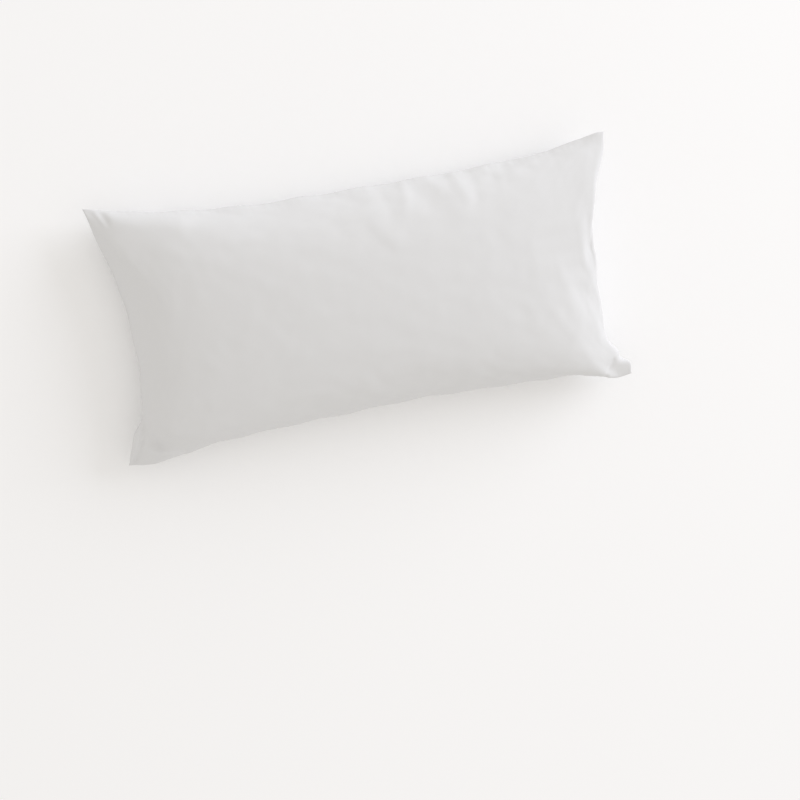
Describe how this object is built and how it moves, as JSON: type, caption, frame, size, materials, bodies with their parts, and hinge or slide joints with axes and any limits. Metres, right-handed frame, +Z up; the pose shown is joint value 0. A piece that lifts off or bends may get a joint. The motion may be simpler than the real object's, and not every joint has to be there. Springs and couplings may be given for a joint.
{
  "type": "filled pillowcase",
  "caption": "Long white cotton pillowcase, filled: high soft crown, drawn-in sides, flat pinched ears at the corners, and a level underside to lie on.",
  "frame": {"origin": "on the resting surface, under the middle of the case's box", "axes": "+X along the length, +Y across it towards the long side that is uppermost when the pillow stands, +Z up out of the crown"},
  "size_m": [0.7938, 0.3898, 0.1316],
  "materials": {
    "white_cotton": "plain woven cotton, matt with a faint soft sheen, undyed white"
  },
  "bodies": {
    "root": {"pillowcase": "white_cotton"}
  },
  "joints": []
}
